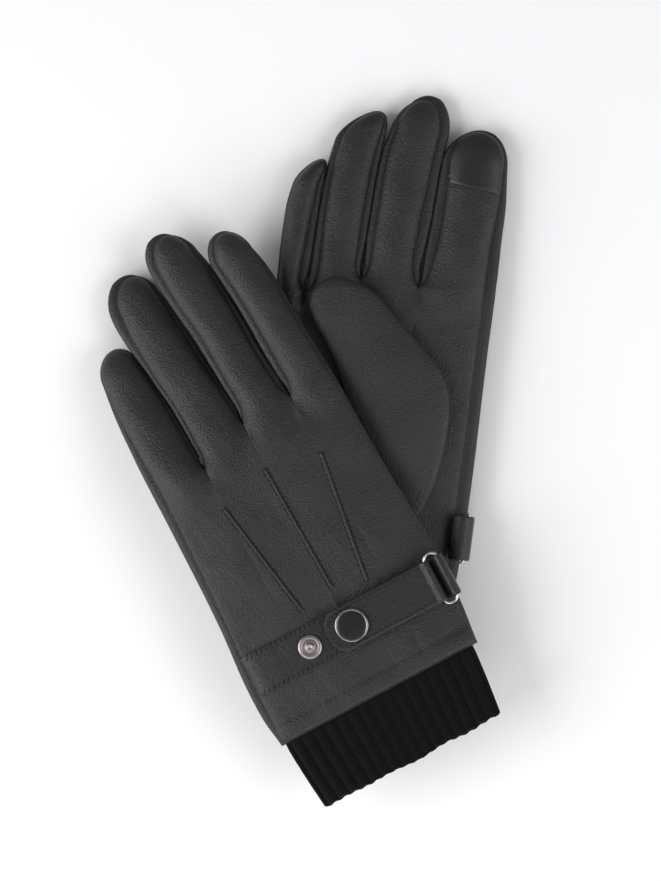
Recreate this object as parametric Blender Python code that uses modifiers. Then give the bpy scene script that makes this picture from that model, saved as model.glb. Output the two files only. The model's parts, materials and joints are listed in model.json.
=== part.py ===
"""A pair of gentlemen's leather gloves with knitted cuffs and snap straps.

Each glove is built flat in its own frame: +X towards the thumb side, +Y from
the cuff edge towards the fingertips, and the back of the hand on the side
that `up` names.  The right glove lies palm up on the table, and the left
glove lies back up across it.  Lengths are in metres.
"""
import math

import bmesh
import bpy
from mathutils import Vector

MM = 0.001

# Leather, lining and knit
PANEL = 1.2 * MM          # thickness of an outer leather panel
LINING = 0.8 * MM         # thickness of the lining sheets
GAP = 0.3 * MM            # clearance between neighbouring pieces
HAND_THICK = 11.0 * MM    # outside thickness of the hand and cuff
SIDE_WALL = 1.2 * MM      # thickness of the two side walls
FOLD_ROOM = 1.6 * MM      # between the hand's sheets and the knuckle line
KNIT_WALL = 1.5 * MM
KNIT_OUT = 34.0 * MM      # how far the knit stands out of the leather cuff
KNIT_IN = 20.0 * MM       # how far it runs up inside the cuff

# Fingers and thumb
FINGER_THICK = 12.0 * MM
FINGER_WALL = 1.1 * MM
THUMB_THICK = 7.0 * MM
THUMB_WALL = 0.9 * MM
PATCH_LENGTH = 24.0 * MM  # touch patch, from the fingertip to its cross seam
PATCH_THICK = 0.8 * MM

# Wrist band, strap and ring
BAND_FROM = 24.0 * MM     # lower edge of the band above the cuff edge
BAND_WIDTH = 20.6 * MM
BAND_THICK = 1.0 * MM
STRAP_THICK = 1.6 * MM
STRAP_TAIL = 12.1 * MM    # from the closed snap to the strap's rounded end
WIRE = 0.65 * MM          # radius of the ring's wire
RING_SPARE = 2.7 * MM     # ring past each edge of the band, outside
RING_PITCH = 6.5 * MM     # between the ring's two long bars
RING_CORNER = 3.0 * MM
RING_AT = 45.8 * MM       # the strap's bar, from the glove's centre line
STRAP_FOLD = 0.65 * MM    # leather around the strap's ring bar
BAND_FOLD = 1.35 * MM     # the doubled band around the outer bar
FOLD_GAP = 0.3 * MM       # running clearance of a bar in its fold

# Snap fastener
SNAP_AT = 3.1 * MM        # closed snap, from the centre line
SNAP_PITCH = 21.5 * MM    # to the spare stud
CAP_RADIUS = 7.8 * MM
CAP_HEIGHT = 1.5 * MM
SOCKET_RADIUS = 4.9 * MM
SOCKET_ROOM = 0.5 * MM    # around the post in the socket's bore
FLANGE_RADIUS = 5.6 * MM
FLANGE_HEIGHT = 0.5 * MM
POST_RADIUS = 1.9 * MM
POST_SHORT = 0.1 * MM     # post's top below the strap's outer face

# How the pair lies
LEFT_LEAN = math.radians(28.0)
RIGHT_LEAN = math.radians(-7.5)
LEFT_AT = (35.4 * MM, -111.6 * MM)
RIGHT_AT = (19.1 * MM, -68.1 * MM)

# Plan of each glove: side edges as (along, across), finger lanes at the
# knuckle line as across positions, and fingers as (name, tip along, tip
# across, width near the tip, droop in degrees towards the table).  The
# thumb's root, about which it swings, and its tip are (along, across).
LEFT_PLAN = {
    "knuckle": 126.0 * MM,
    "little_edge": [(0, -51), (30, -50), (64, -48.8), (126, -46.5)],
    "thumb_edge": [(0, 51), (41, 52), (73, 51), (100, 48.5), (126, 45.6)],
    "lanes": [-46.5, -22.3, 2.0, 27.3, 45.6],
    "fingers": [
        ("little", 201.5, -34.0, 20.0, 18.0),
        ("ring", 227.0, -12.3, 22.0, 14.5),
        ("middle", 233.0, 10.5, 22.5, 8.0),
        ("index", 220.0, 35.3, 21.0, 5.0),
    ],
    "thumb": ((28.0, 28.0), (106.0, -41.0)),
}
RIGHT_PLAN = {
    "knuckle": 143.0 * MM,
    "little_edge": [(0, -49), (60, -49.5), (143, -48.5)],
    "thumb_edge": [(0, 51), (41, 50.5), (73, 49.5), (143, 48)],
    "lanes": [-48.5, -36.8, -12.3, 14.4, 48],
    "fingers": [
        ("little", 199.5, -40.4, 16.5, 3.5),
        ("ring", 224.5, -18.2, 20.0, 3.5),
        ("middle", 233.5, 6.4, 24.0, 3.5),
        ("index", 222.0, 33.0, 25.0, 3.5),
    ],
    "thumb": ((46.0, 28.0), (141.5, -23.5)),
}
THUMB_WIDTHS = (22.0, 33.0, 28.0)   # at the root, the ball and the tip joint

SECTION_POINTS = 16
SECTION_POWER = 2.6

# Heights outward from the hand's middle plane on the back side
BACK_FACE = HAND_THICK / 2
BAND_LOW = BACK_FACE + GAP
STUD_LOW = BAND_LOW + BAND_THICK + GAP
STRAP_LOW = STUD_LOW + FLANGE_HEIGHT + GAP
BAR_LEVEL = STRAP_LOW + STRAP_THICK / 2
CAP_LOW = STRAP_LOW + STRAP_THICK + GAP
SNAP_STACK = CAP_LOW + CAP_HEIGHT - BACK_FACE

# Sizes that follow the pieces they fit
STRAP_END = SNAP_AT - STRAP_TAIL
RING_LENGTH = BAND_WIDTH + 2 * RING_SPARE
SOCKET_BORE = POST_RADIUS + SOCKET_ROOM
POST_HEIGHT = GAP + STRAP_THICK - POST_SHORT

BAND_MID = BAND_FROM + BAND_WIDTH / 2
FOLD_BORE = WIRE + FOLD_GAP

BLACK_LEATHER = ((0.022, 0.022, 0.024), 0.42, 0.0)
BLACK_LINING = ((0.012, 0.012, 0.013), 0.95, 0.0)
BLACK_KNIT = ((0.008, 0.008, 0.009), 0.95, 0.0)
NICKEL = ((0.62, 0.58, 0.57), 0.28, 1.0)
GUNMETAL = ((0.10, 0.10, 0.11), 0.3, 1.0)


def clear_scene():
    for item in list(bpy.data.objects):
        bpy.data.objects.remove(item, do_unlink=True)


def new_collection(name):
    collection = bpy.data.collections.new(name)
    bpy.context.scene.collection.children.link(collection)
    return collection


def finish_material(piece, finish):
    colour, roughness, metallic = finish
    material = bpy.data.materials.new(piece.name)
    material.use_nodes = True
    shader = material.node_tree.nodes["Principled BSDF"]
    shader.inputs["Base Color"].default_value = (*colour, 1.0)
    shader.inputs["Roughness"].default_value = roughness
    shader.inputs["Metallic"].default_value = metallic
    piece.data.materials.append(material)


def add_piece(name, data, parent, finish):
    """Link one sub-part under its parent empty and give it a material."""
    piece = bpy.data.objects.new(name, data)
    parts.objects.link(piece)
    piece.parent = parent
    finish_material(piece, finish)
    return piece


def add_empty(name, parent, place, turn=(0.0, 0.0, 0.0)):
    empty = bpy.data.objects.new(name, None)
    parts.objects.link(empty)
    empty.parent = parent
    empty.location = place
    empty.rotation_euler = turn
    return empty


def flat_curve(name, outlines, thickness):
    """A filled 2D curve of closed outlines, extruded to a thickness."""
    curve = bpy.data.curves.new(name, "CURVE")
    curve.dimensions = "2D"
    curve.fill_mode = "BOTH"
    curve.extrude = thickness / 2
    for outline in outlines:
        spline = curve.splines.new("POLY")
        spline.points.add(len(outline) - 1)
        for point, (x, y) in zip(spline.points, outline):
            point.co = (x, y, 0.0, 1.0)
        spline.use_cyclic_u = True
    return curve


def plate(name, outlines, low, high, up, parent, finish):
    """A flat sheet between two heights on the `up` side of its parent."""
    sheet = add_piece(name, flat_curve(name, outlines, high - low), parent, finish)
    sheet.location.z = up * (low + high) / 2
    return sheet


def circle(x, y, radius, count=28):
    angles = [2 * math.pi * step / count for step in range(count)]
    return [(x + radius * math.cos(a), y + radius * math.sin(a)) for a in angles]


def edge_at(edge, along):
    """Across position of a side edge at a distance along the glove."""
    for (a0, b0), (a1, b1) in zip(edge, edge[1:]):
        if a0 * MM <= along <= a1 * MM:
            share = (along - a0 * MM) / ((a1 - a0) * MM)
            return (b0 + share * (b1 - b0)) * MM
    return edge[-1][1] * MM


def edge_points(edge, start, stop, inset):
    """Points of a side edge from start to stop, moved across by inset."""
    inner = [a * MM for a, _ in edge if start < a * MM < stop]
    return [(edge_at(edge, a) + inset, a) for a in [start, *inner, stop]]


def hand_outline(plan, start, stop, inset):
    """Outline of a hand sheet, pulled in by inset at both side edges."""
    left = edge_points(plan["little_edge"], start, stop, inset)
    right = edge_points(plan["thumb_edge"], start, stop, -inset)
    return left[::-1] + right


def wall_outline(plan, side, start, stop):
    """A thin strip that follows one side edge."""
    sign = 1 if side == "little_edge" else -1
    outer = edge_points(plan[side], start, stop, 0.0)
    inner = edge_points(plan[side], start, stop, sign * SIDE_WALL)
    return outer + inner[::-1]


def section(centre, half_width, half_height, across, level=0.0):
    """One ring of a flattened tube: a superellipse square to its path."""
    ring = []
    for step in range(SECTION_POINTS):
        angle = 2 * math.pi * step / SECTION_POINTS
        c, s = math.cos(angle), math.sin(angle)
        u = half_width * math.copysign(abs(c) ** (2 / SECTION_POWER), c)
        v = half_height * math.copysign(abs(s) ** (2 / SECTION_POWER), s)
        ring.append(Vector((centre[0], centre[1], level + v)) + across * u)
    return ring


def sleeve(name, rings, tip, wall, parent, finish):
    """A loft through rings, closed at its tip if there is one, as a shell."""
    mesh = bpy.data.meshes.new(name)
    cage = bmesh.new()
    rows = [[cage.verts.new(point) for point in ring] for ring in rings]
    for low, high in zip(rows, rows[1:]):
        for i in range(SECTION_POINTS):
            j = (i + 1) % SECTION_POINTS
            cage.faces.new((low[i], low[j], high[j], high[i]))
    if tip is not None:
        pole = cage.verts.new(tip)
        for i in range(SECTION_POINTS):
            cage.faces.new((rows[-1][i], rows[-1][(i + 1) % SECTION_POINTS], pole))
    bmesh.ops.recalc_face_normals(cage, faces=cage.faces)
    middle = sum((v.co for v in rows[1]), Vector()) / SECTION_POINTS
    face = cage.faces[:][0]
    if face.normal.dot(face.calc_center_median() - middle) < 0:
        bmesh.ops.reverse_faces(cage, faces=cage.faces)
    cage.to_mesh(mesh)
    cage.free()
    mesh.shade_smooth()
    shell = add_piece(name, mesh, parent, finish)
    solid = shell.modifiers.new("wall", "SOLIDIFY")
    solid.thickness = wall
    solid.offset = -1
    return shell


def turned(name, profile, x, y, low, up, parent, finish):
    """A profile of (radius, height) turned about an axis square to the hand.

    The profile runs from the top centre down its outer side.
    """
    mesh = bpy.data.meshes.new(name)
    points = [(radius, 0, height) for radius, height in profile]
    closed = profile[0][0] > 0
    edges = [(i, i + 1) for i in range(len(points) - 1)]
    if closed:
        edges.append((len(points) - 1, 0))
    mesh.from_pydata(points, edges, [])
    piece = add_piece(name, mesh, parent, finish)
    piece.location = (x, y, up * low)
    if up < 0:
        piece.rotation_euler = (math.pi, 0, 0)
    screw = piece.modifiers.new("turn", "SCREW")
    screw.steps = screw.render_steps = 28
    screw.use_merge_vertices = True
    screw.merge_threshold = 0.00001
    screw.use_smooth_shade = True
    return piece


def mesh_of_curve(name, curve, place, turn):
    """A curve made a welded mesh, with its place and turn applied."""
    holder = bpy.data.objects.new(name, curve)
    cutters.objects.link(holder)
    holder.location = place
    holder.rotation_euler = turn
    bpy.context.view_layer.update()
    evaluated = holder.evaluated_get(bpy.context.evaluated_depsgraph_get())
    mesh = bpy.data.meshes.new_from_object(evaluated)
    mesh.transform(holder.matrix_world)
    bpy.data.objects.remove(holder, do_unlink=True)
    cage = bmesh.new()
    cage.from_mesh(mesh)
    bmesh.ops.remove_doubles(cage, verts=cage.verts, dist=0.000005)
    bmesh.ops.recalc_face_normals(cage, faces=cage.faces)
    cage.to_mesh(mesh)
    cage.free()
    return mesh


def folded_strip(name, outlines, thickness, middle, bar, fold_wall, centre, up, parent):
    """A leather strip whose end is folded round a bar that runs along Y.

    The flat strip is joined to the fold by a Boolean, and the bar's bore
    goes through both.
    """
    strip = mesh_of_curve(name, flat_curve(name, outlines, thickness), (0, 0, up * middle), (0, 0, 0))
    strip_piece = add_piece(name, strip, parent, BLACK_LEATHER)
    quarter = math.pi / 2
    place = (bar[0], centre, up * bar[1])
    for label, radius, length, action in (
        ("fold", FOLD_BORE + fold_wall, BAND_WIDTH, "UNION"),
        ("bore", FOLD_BORE, BAND_WIDTH * 2, "DIFFERENCE"),
    ):
        disc = flat_curve(f"{name}_{label}", [circle(0, 0, radius, 16)], length)
        tool = bpy.data.objects.new(f"{name}_{label}_cutter",
                                    mesh_of_curve(f"{name}_{label}", disc, place, (quarter, 0, 0)))
        cutters.objects.link(tool)
        tool.parent = parent
        tool.hide_render = True
        tool.display_type = "WIRE"
        cut = strip_piece.modifiers.new(label, "BOOLEAN")
        cut.operation = action
        cut.object = tool
    return strip_piece


def build_hand(side, plan, up, hand):
    """Back and palm panels, side walls, lining and knitted cuff."""
    knuckle = plan["knuckle"] - FOLD_ROOM
    half = HAND_THICK / 2
    panel = [hand_outline(plan, 0.0, knuckle, 0.0)]
    plate(f"{side}_back_panel", panel, half - PANEL, half, up, hand, BLACK_LEATHER)
    plate(f"{side}_palm_panel", panel, -half, PANEL - half, up, hand, BLACK_LEATHER)
    wall_top = half - PANEL - GAP
    for edge, label in (("little_edge", "little_side_seam"), ("thumb_edge", "thumb_side_seam")):
        strip = [wall_outline(plan, edge, 0.0, knuckle)]
        plate(f"{side}_{label}", strip, -wall_top, wall_top, up, hand, BLACK_LEATHER)
    lining = [hand_outline(plan, KNIT_IN + GAP, knuckle, SIDE_WALL + GAP)]
    plate(f"{side}_back_lining", lining, wall_top - LINING, wall_top, up, hand, BLACK_LINING)
    plate(f"{side}_palm_lining", lining, -wall_top, LINING - wall_top, up, hand, BLACK_LINING)
    build_knit(side, plan, wall_top, hand)


def build_knit(side, plan, half_height, hand):
    """The ribbed tube, sewn inside the cuff and standing out below it."""
    inset = SIDE_WALL + 2 * GAP
    rings = []
    for along, extra in ((-KNIT_OUT, 2.5 * MM), (-KNIT_OUT / 2, 1.0 * MM), (0.0, 0.0), (KNIT_IN, 0.0)):
        place = max(along, 0.0)
        low = edge_at(plan["little_edge"], place) + inset + extra
        high = edge_at(plan["thumb_edge"], place) - inset - extra
        centre = ((low + high) / 2, along)
        rings.append(section(centre, (high - low) / 2, half_height, Vector((1, 0, 0))))
    sleeve(f"{side}_knit_cuff", rings, None, KNIT_WALL, hand, BLACK_KNIT)


def stall(name, root, tip, root_half, tip_half, level, parent):
    """A finger: a flattened tube from an open root to a round, closed tip."""
    root, tip = Vector(root), Vector(tip)
    path = tip - root
    across = Vector((path.y, -path.x)).normalized().to_3d()
    straight = 1 - tip_half / path.length
    stations = [straight * step / 5 for step in range(6)]
    stations += [straight + (1 - straight) * math.sin(math.radians(a)) for a in (30, 55, 75)]
    rings = []
    for t in stations:
        round_off = math.sqrt(max(0.0, 1 - (max(0.0, t - straight) / (1 - straight)) ** 2))
        half = root_half + (tip_half - root_half) * min(1.0, t / straight) ** 0.8
        height = FINGER_THICK / 2 * round_off ** 0.7
        rings.append(section(root + path * t, half * round_off, height, across, level))
    pole = Vector((tip.x, tip.y, level))
    return sleeve(name, rings, pole, FINGER_WALL, parent, BLACK_LEATHER)


def build_fingers(side, plan, up, fingers):
    """Four finger stalls, drooping from the knuckle line, and a touch patch.

    Their parent lies on the upper face of the hand, so a finger starts far
    enough out for its lower edge to clear the hand where it droops.
    """
    knuckle = plan["knuckle"]
    level = -HAND_THICK / 2
    for place, (name, tip_a, tip_b, width, droop) in enumerate(plan["fingers"]):
        low = plan["lanes"][place] * MM + GAP
        high = plan["lanes"][place + 1] * MM - GAP
        depth = HAND_THICK / 2 + FINGER_THICK / 2
        root = ((low + high) / 2, GAP + depth * math.sin(math.radians(droop)))
        tip = (tip_b * MM, tip_a * MM - knuckle)
        finger = stall(f"{side}_{name}_finger", root, tip, (high - low) / 2,
                       width * MM / 2, level, fingers)
        finger.rotation_euler.x = -math.radians(droop)
    build_touch_patch(side, up, root, tip, width * MM / 2, level, finger)


def build_touch_patch(side, up, root, tip, half_finger, level, finger):
    """The smooth pad on the palm side of the index fingertip."""
    half = half_finger - 3.0 * MM
    tail = PATCH_LENGTH - half - 2.0 * MM
    outline = [(half * math.cos(math.radians(a)), half * math.sin(math.radians(a)))
               for a in range(0, 181, 15)]
    outline += [(-half, -tail), (half, -tail)]
    low = -FINGER_THICK / 2 - GAP - PATCH_THICK
    cover = plate(f"{side}_touch_patch", [outline], low, low + PATCH_THICK, up, finger, BLACK_LEATHER)
    cover.location.x = tip[0]
    cover.location.y = tip[1] - half - 2.0 * MM
    cover.location.z += level
    cover.rotation_euler.z = math.atan2(root[0] - tip[0], tip[1] - root[1])


def build_thumb(side, plan, thumb):
    """The thumb, folded flat across the palm; its parent is at its root."""
    (root_a, root_b), (tip_a, tip_b) = plan["thumb"]
    tip = Vector((tip_b - root_b, tip_a - root_a)) * MM
    across = Vector((tip.y, -tip.x)).normalized().to_3d()
    at_root, at_ball, at_joint = (w * MM / 2 for w in THUMB_WIDTHS)
    straight = 1 - at_joint / tip.length
    rings = []
    stations = [(0.0, at_root), (0.18, (at_root + at_ball) / 2), (0.4, at_ball),
                (0.62, (at_ball + at_joint) / 2), (straight, at_joint)]
    stations += [(straight + (1 - straight) * math.sin(math.radians(a)),
                  at_joint * math.cos(math.radians(a))) for a in (30, 55, 75)]
    for t, half in stations:
        round_off = math.sqrt(max(0.0, 1 - (max(0.0, t - straight) / (1 - straight)) ** 2))
        rings.append(section(tip * t, half, THUMB_THICK / 2 * round_off ** 0.7, across))
    sleeve(f"{side}_thumb", rings, tip.to_3d(), THUMB_WALL, thumb, BLACK_LEATHER)


def stud_profile():
    top = FLANGE_HEIGHT + POST_HEIGHT
    waist = POST_RADIUS * 0.85
    return [(0, top), (POST_RADIUS * 0.8, top), (POST_RADIUS, top - 0.3 * MM),
            (POST_RADIUS, top - 0.7 * MM), (waist, top - 1.1 * MM), (waist, FLANGE_HEIGHT),
            (FLANGE_RADIUS - 0.2 * MM, FLANGE_HEIGHT), (FLANGE_RADIUS, FLANGE_HEIGHT / 2),
            (FLANGE_RADIUS, 0), (0, 0)]


def build_band(side, plan, up, hand):
    """The sewn wrist band, folded round the ring's outer bar, and its studs."""
    outer_bar = RING_AT + RING_PITCH
    left = edge_at(plan["little_edge"], BAND_MID) + 1.0 * MM
    outline = [(left, BAND_FROM), (outer_bar, BAND_FROM),
               (outer_bar, BAND_FROM + BAND_WIDTH), (left, BAND_FROM + BAND_WIDTH)]
    folded_strip(f"{side}_wrist_band", [outline], BAND_THICK, BAND_LOW + BAND_THICK / 2,
                 (outer_bar, BAR_LEVEL), BAND_FOLD, BAND_MID, up, hand)
    for label, x in (("snap_stud", SNAP_AT), ("spare_stud", SNAP_AT - SNAP_PITCH)):
        turned(f"{side}_{label}", stud_profile(), x, BAND_MID, STUD_LOW, up, hand, NICKEL)


def build_ring(side, ring):
    """A rectangular wire ring; its parent lies on the outer bar's axis."""
    corner = RING_CORNER
    half_y = RING_LENGTH / 2 - WIRE
    points = []
    for centre_x, centre_y, start in (
        (-corner, half_y - corner, 0), (corner - RING_PITCH, half_y - corner, 90),
        (corner - RING_PITCH, corner - half_y, 180), (-corner, corner - half_y, 270),
    ):
        for step in range(5):
            angle = math.radians(start + 22.5 * step)
            points.append((centre_x + corner * math.cos(angle), centre_y + corner * math.sin(angle)))
    curve = bpy.data.curves.new(f"{side}_ring", "CURVE")
    curve.dimensions = "3D"
    curve.bevel_depth = WIRE
    curve.bevel_resolution = 2
    spline = curve.splines.new("POLY")
    spline.points.add(len(points) - 1)
    for point, (x, y) in zip(spline.points, points):
        point.co = (x, y, 0.0, 1.0)
    spline.use_cyclic_u = True
    add_piece(f"{side}_ring", curve, ring, NICKEL)


def build_strap(side, up, strap):
    """The strap, folded round the ring's inner bar, with its snap cap."""
    half = BAND_WIDTH / 2
    end = STRAP_END - RING_AT + half * 0.8
    tip = [(end + half * 0.8 * math.cos(math.radians(a)), half * math.sin(math.radians(a)))
           for a in range(90, 271, 15)]
    outline = [(0.0, half)] + tip + [(0.0, -half)]
    snap = SNAP_AT - RING_AT
    hole = circle(snap, 0.0, SOCKET_RADIUS + GAP)
    middle = STRAP_LOW + STRAP_THICK / 2 - BAR_LEVEL
    folded_strip(f"{side}_strap", [outline, hole], STRAP_THICK, middle, (0.0, 0.0),
                 STRAP_FOLD, 0.0, up, strap)
    socket = [(SOCKET_BORE, STRAP_THICK), (SOCKET_RADIUS, STRAP_THICK), (SOCKET_RADIUS, 0),
              (SOCKET_BORE, 0)]
    turned(f"{side}_snap_socket", socket, snap, 0.0, STRAP_LOW - BAR_LEVEL, up, strap, NICKEL)
    cap = [(0, CAP_HEIGHT), (CAP_RADIUS * 0.8, CAP_HEIGHT), (CAP_RADIUS * 0.93, CAP_HEIGHT * 0.87),
           (CAP_RADIUS, CAP_HEIGHT * 0.5), (CAP_RADIUS, 0), (0, 0)]
    turned(f"{side}_snap_cap", cap, snap, 0.0, CAP_LOW - BAR_LEVEL, up, strap, GUNMETAL)


def build_glove(side, plan, up, place, lean):
    """One whole glove: every moving group hangs from an empty on its axis."""
    hand = add_empty(f"{side}_glove", None, place, (0, 0, lean))
    fingers = add_empty(f"{side}_fingers_fold", hand, (0, plan["knuckle"], HAND_THICK / 2))
    palm_side = -up * (HAND_THICK / 2 + GAP + THUMB_THICK / 2)
    root_a, root_b = plan["thumb"][0]
    thumb = add_empty(f"{side}_thumb_swing", hand, (root_b * MM, root_a * MM, palm_side))
    ring = add_empty(f"{side}_ring_swing", hand, (RING_AT + RING_PITCH, BAND_MID, up * BAR_LEVEL))
    strap = add_empty(f"{side}_strap_swing", ring, (-RING_PITCH, 0, 0))
    build_hand(side, plan, up, hand)
    build_fingers(side, plan, up, fingers)
    build_thumb(side, plan, thumb)
    build_band(side, plan, up, hand)
    build_ring(side, ring)
    build_strap(side, up, strap)
    return hand


def centre_pair(hands):
    """Move both gloves so that the pair stands centred on the origin."""
    bpy.context.view_layer.update()
    depsgraph = bpy.context.evaluated_depsgraph_get()
    corners = []
    for item in parts.objects:
        if item.type == "EMPTY":
            continue
        shape = item.evaluated_get(depsgraph)
        mesh = shape.to_mesh()
        corners += [shape.matrix_world @ vertex.co for vertex in mesh.vertices]
        shape.to_mesh_clear()
    low = [min(corner[axis] for corner in corners) for axis in range(3)]
    high = [max(corner[axis] for corner in corners) for axis in range(3)]
    shift = Vector(((low[0] + high[0]) / 2, (low[1] + high[1]) / 2, low[2]))
    for hand in hands:
        hand.location -= shift
    bpy.context.view_layer.update()


clear_scene()
parts = new_collection("leather_gloves")
cutters = new_collection("cutters")
right_level = SNAP_STACK + HAND_THICK / 2
left_level = right_level + HAND_THICK + THUMB_THICK + 2 * GAP
pair = [
    build_glove("right", RIGHT_PLAN, -1, (*RIGHT_AT, right_level), RIGHT_LEAN),
    build_glove("left", LEFT_PLAN, 1, (*LEFT_AT, left_level), LEFT_LEAN),
]
centre_pair(pair)
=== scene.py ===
"""A pair of men's black nappa gloves, the left one laid back up over the right.

Each glove has its own flat frame in millimetres: `a` runs from the cuff edge
towards the fingertips, `b` runs across towards the thumb side, and `h` is the
height above the middle of the hand, which is up for both gloves.
"""
import json
import math

import bmesh
import bpy
import numpy as np
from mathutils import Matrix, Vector


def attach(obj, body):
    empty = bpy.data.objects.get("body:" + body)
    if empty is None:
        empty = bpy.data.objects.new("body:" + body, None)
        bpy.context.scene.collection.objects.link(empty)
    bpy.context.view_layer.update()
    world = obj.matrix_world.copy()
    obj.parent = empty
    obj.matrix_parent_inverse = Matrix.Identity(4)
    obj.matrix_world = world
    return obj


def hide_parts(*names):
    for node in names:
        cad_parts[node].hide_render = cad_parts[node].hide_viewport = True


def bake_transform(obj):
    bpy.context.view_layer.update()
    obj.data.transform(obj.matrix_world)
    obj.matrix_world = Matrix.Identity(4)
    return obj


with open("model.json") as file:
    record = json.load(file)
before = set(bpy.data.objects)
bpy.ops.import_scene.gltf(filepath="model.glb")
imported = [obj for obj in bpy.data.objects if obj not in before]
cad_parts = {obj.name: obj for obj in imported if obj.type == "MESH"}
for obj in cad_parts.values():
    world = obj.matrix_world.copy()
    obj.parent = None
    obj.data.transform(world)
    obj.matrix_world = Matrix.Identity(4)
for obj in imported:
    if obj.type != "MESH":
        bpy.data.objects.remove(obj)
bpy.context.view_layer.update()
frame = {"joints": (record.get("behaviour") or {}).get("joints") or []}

joints = {joint["name"]: joint for joint in frame["joints"]}

MM = 0.001


# ---------------------------------------------------------------- the lay of each glove
# A glove's frame hangs on its finger joint, which lies on the hand's upper
# face at the finger roots, along `b`.  `up` is 1 where the back is up.
class Glove:
    def __init__(self, side, up, knuckle, thickness, plan):
        joint = joints[f"{side}_fingers_fold"]
        self.side, self.up, self.knuckle, self.plan = side, up, knuckle, plan
        self.across = np.array(joint["axis"])
        self.along = np.array([-self.across[1], self.across[0], 0.0])
        centre = np.array(joint["pos_m"]) - [0, 0, thickness / 2 * MM]
        self.origin = centre - self.along * knuckle * MM

    def world(self, a, b, h):
        """Origin plus a along the glove, b across it and h upwards, in metres."""
        a, b, h = np.broadcast_arrays(a, b, h)
        flat = np.outer(a.ravel(), self.along) + np.outer(b.ravel(), self.across)
        points = self.origin + flat * MM
        points[:, 2] += h.ravel() * MM
        return points

    def name(self, piece):
        return f"{self.side}_{piece}"


def smooth_line(knots, a):
    """Cubic Hermite curve through (a, b) knots, with finite-difference slopes."""
    x, y = np.array(knots, float).T
    slope = np.gradient(y, x)
    i = np.clip(np.searchsorted(x, a) - 1, 0, len(x) - 2)
    w = x[i + 1] - x[i]
    t = np.clip((a - x[i]) / w, 0, 1)
    return ((2 * t**3 - 3 * t**2 + 1) * y[i] + (t**3 - 2 * t**2 + t) * w * slope[i]
            + (3 * t**2 - 2 * t**3) * y[i + 1] + (t**3 - t**2) * w * slope[i + 1])


def ease(t):
    """Smoothstep from 0 to 1."""
    t = np.clip(t, 0, 1)
    return t * t * (3 - 2 * t)


# Each finger is (left seam knots, right seam knots, shoulder, tip, droop
# slope).  Seams start at a crotch, or at the cuff on the outer sides, and
# the skin closes in an arc from the shoulder to the tip.
LEFT = Glove("left", 1, 126.0, 11.0, {
    "cuff": [-50.2, -24.0, 1.0, 26.0, 49.8],
    "crotch": [(128.0, -22.7), (138.3, 2.3), (139.6, 27.6)],
    "outer": ([(0, -50.2), (30, -49.6), (60, -47.7), (90, -46.4), (120, -45.8), (150, -46.8),
               (172, -47.0), (185, -46.0)],
              [(0, 49.8), (41, 51.6), (73, 50.6), (115, 49.2), (135, 48.8), (160, 47.2),
               (175, 46.4), (191, 45.8), (203, 44.2), (208, 43.0)]),
    "bulge": ([(0, 0.4), (9, 2.8), (20, 3.4), (60, 3.3), (130, 3.7), (155, 2.4), (180, 0.9), (200, 0.9)],
              [(0, 0.3), (10, 1.0), (100, 1.2), (200, 1.2)]),
    "tips": [(0.4, 0.3), (3.4, 0.3), (3.4, 0.1), (2.4, 0.3)],
    "knit": ([(-34, -47.0), (-15, -48.8), (0, -49.6), (20, -48.0)],
             [(-34, 44.6), (-15, 46.8), (0, 48.0), (20, 48.4)]),
    "fingers": [
        (None, [(128.0, -22.7), (131, -23.7), (141, -24.4), (158, -25.1), (172, -26.1), (185, -27.6)],
         185, (197, -35.5), 0.300),
        ([(128.0, -22.7), (131, -21.9), (142, -21.5), (163, -22.3), (175, -24.0), (190, -24.9),
          (203, -24.8), (211, -24.2)],
         [(138.3, 2.3), (142, 1.6), (151, 0.9), (164, 0.0), (178, -1.7), (193, -3.2), (204, -4.3),
          (211, -5.3)], 211, (223.5, -13.5), 0.245),
        ([(138.3, 2.3), (145, 4.2), (157, 4.1), (170, 3.7), (186, 3.0), (198, 1.5), (211, 0.6),
          (219, 0.6)],
         [(139.6, 27.6), (143, 25.9), (154, 23.9), (165, 23.1), (180, 23.0), (196, 22.2),
          (209, 20.9), (219, 18.8)], 219, (232.5, 9.5), 0.135),
        ([(139.6, 27.6), (144, 29.1), (151, 29.1), (161, 28.7), (174, 28.4), (186, 27.9),
          (198, 26.8), (208, 25.8)], None, 208, (220.5, 34.5), 0.080),
    ],
})
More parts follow.
